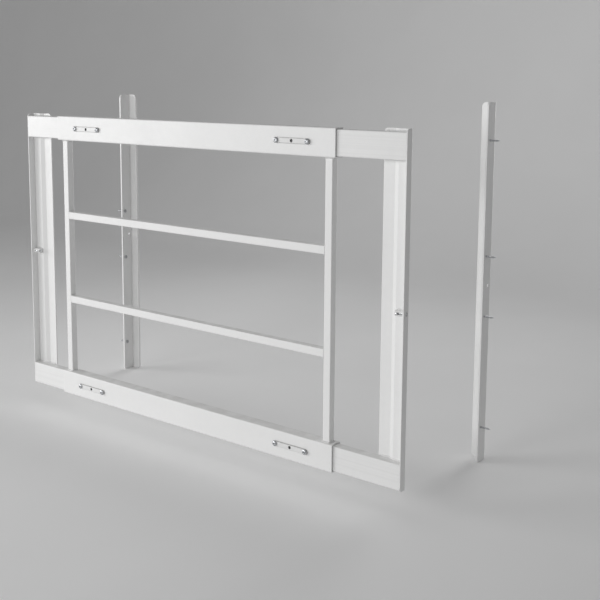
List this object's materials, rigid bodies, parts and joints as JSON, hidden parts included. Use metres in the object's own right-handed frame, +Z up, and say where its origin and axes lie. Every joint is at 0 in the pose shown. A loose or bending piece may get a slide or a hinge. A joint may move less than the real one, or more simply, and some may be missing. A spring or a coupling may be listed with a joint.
{
  "type": "window security bar",
  "caption": "Telescoping window guard: welded frame with square bars, sliding end frames with barrel bolts, rail locks and screw-on mounting angles.",
  "frame": {"origin": "middle of the bottom of the box round the whole part, mounting angles included", "axes": "+X along the guard to its right end, +Y from the guard's front into the window, +Z up"},
  "size_m": [1.021, 0.3198, 0.69],
  "materials": {
    "white_paint": "satin white powder coat on steel",
    "screw_zinc": "zinc-plated screw",
    "set_screw_steel": "dark oxide set screw",
    "bolt_steel": "zinc-plated, turned"
  },
  "bodies": {
    "left_angle": {"left_mounting_angle": "white_paint", "left_jamb_screws": "screw_zinc"},
    "left_frame": {"left_upper_rail": "white_paint", "left_lower_rail": "white_paint", "left_end_channel": "white_paint", "left_latch_barrel": "white_paint"},
    "centre_frame": {"upper_sleeve": "white_paint", "lower_sleeve": "white_paint", "left_upright": "white_paint", "right_upright": "white_paint", "upper_crossbar": "white_paint", "lower_crossbar": "white_paint", "upper_left_strap": "white_paint", "upper_right_strap": "white_paint", "lower_left_strap": "white_paint", "lower_right_strap": "white_paint", "upper_left_strap_screws": "screw_zinc", "upper_right_strap_screws": "screw_zinc", "lower_left_strap_screws": "screw_zinc", "lower_right_strap_screws": "screw_zinc"},
    "right_frame": {"right_upper_rail": "white_paint", "right_lower_rail": "white_paint", "right_end_channel": "white_paint", "right_latch_barrel": "white_paint"},
    "right_angle": {"right_mounting_angle": "white_paint", "right_jamb_screws": "screw_zinc"},
    "left_bolt": {"left_latch_bolt": "bolt_steel", "left_latch_knob": "bolt_steel"},
    "right_bolt": {"right_latch_bolt": "bolt_steel", "right_latch_knob": "bolt_steel"},
    "upper_left_lock": {"upper_left_set_screw": "set_screw_steel"},
    "upper_right_lock": {"upper_right_set_screw": "set_screw_steel"},
    "lower_left_lock": {"lower_left_set_screw": "set_screw_steel"},
    "lower_right_lock": {"lower_right_set_screw": "set_screw_steel"}
  },
  "joints": [
    {"name": "left_seat", "type": "slide", "parent": "left_angle", "child": "left_frame", "axis": [0, 1, 0], "range_m": [0, 0.29]},
    {"name": "left_adjust", "type": "slide", "parent": "left_frame", "child": "centre_frame", "axis": [1, 0, 0], "range_m": [-0.048, 0.15]},
    {"name": "right_adjust", "type": "slide", "parent": "centre_frame", "child": "right_frame", "axis": [1, 0, 0], "range_m": [-0.081, 0.115]},
    {"name": "right_seat", "type": "slide", "parent": "right_frame", "child": "right_angle", "axis": [0, 1, 0], "range_m": [-0.29, 0]},
    {"name": "left_latch", "type": "slide", "parent": "left_frame", "child": "left_bolt", "axis": [-1, 0, 0], "range_m": [0, 0.009]},
    {"name": "right_latch", "type": "slide", "parent": "right_frame", "child": "right_bolt", "axis": [1, 0, 0], "range_m": [0, 0.009]},
    {"name": "upper_left_lock_turn", "type": "hinge", "parent": "centre_frame", "child": "upper_left_lock", "pos_m": [-0.2845, -0.154, 0.623], "axis": [0, -1, 0], "range_deg": [0, 720]},
    {"name": "upper_right_lock_turn", "type": "hinge", "parent": "centre_frame", "child": "upper_right_lock", "pos_m": [0.2515, -0.154, 0.623], "axis": [0, -1, 0], "range_deg": [0, 720]},
    {"name": "lower_left_lock_turn", "type": "hinge", "parent": "centre_frame", "child": "lower_left_lock", "pos_m": [-0.2845, -0.154, 0.064], "axis": [0, -1, 0], "range_deg": [0, 720]},
    {"name": "lower_right_lock_turn", "type": "hinge", "parent": "centre_frame", "child": "lower_right_lock", "pos_m": [0.2515, -0.154, 0.064], "axis": [0, -1, 0], "range_deg": [0, 720]}
  ],
  "couplings": [
    {"joint": "right_seat", "follows": "left_seat", "ratio": -1}
  ]
}
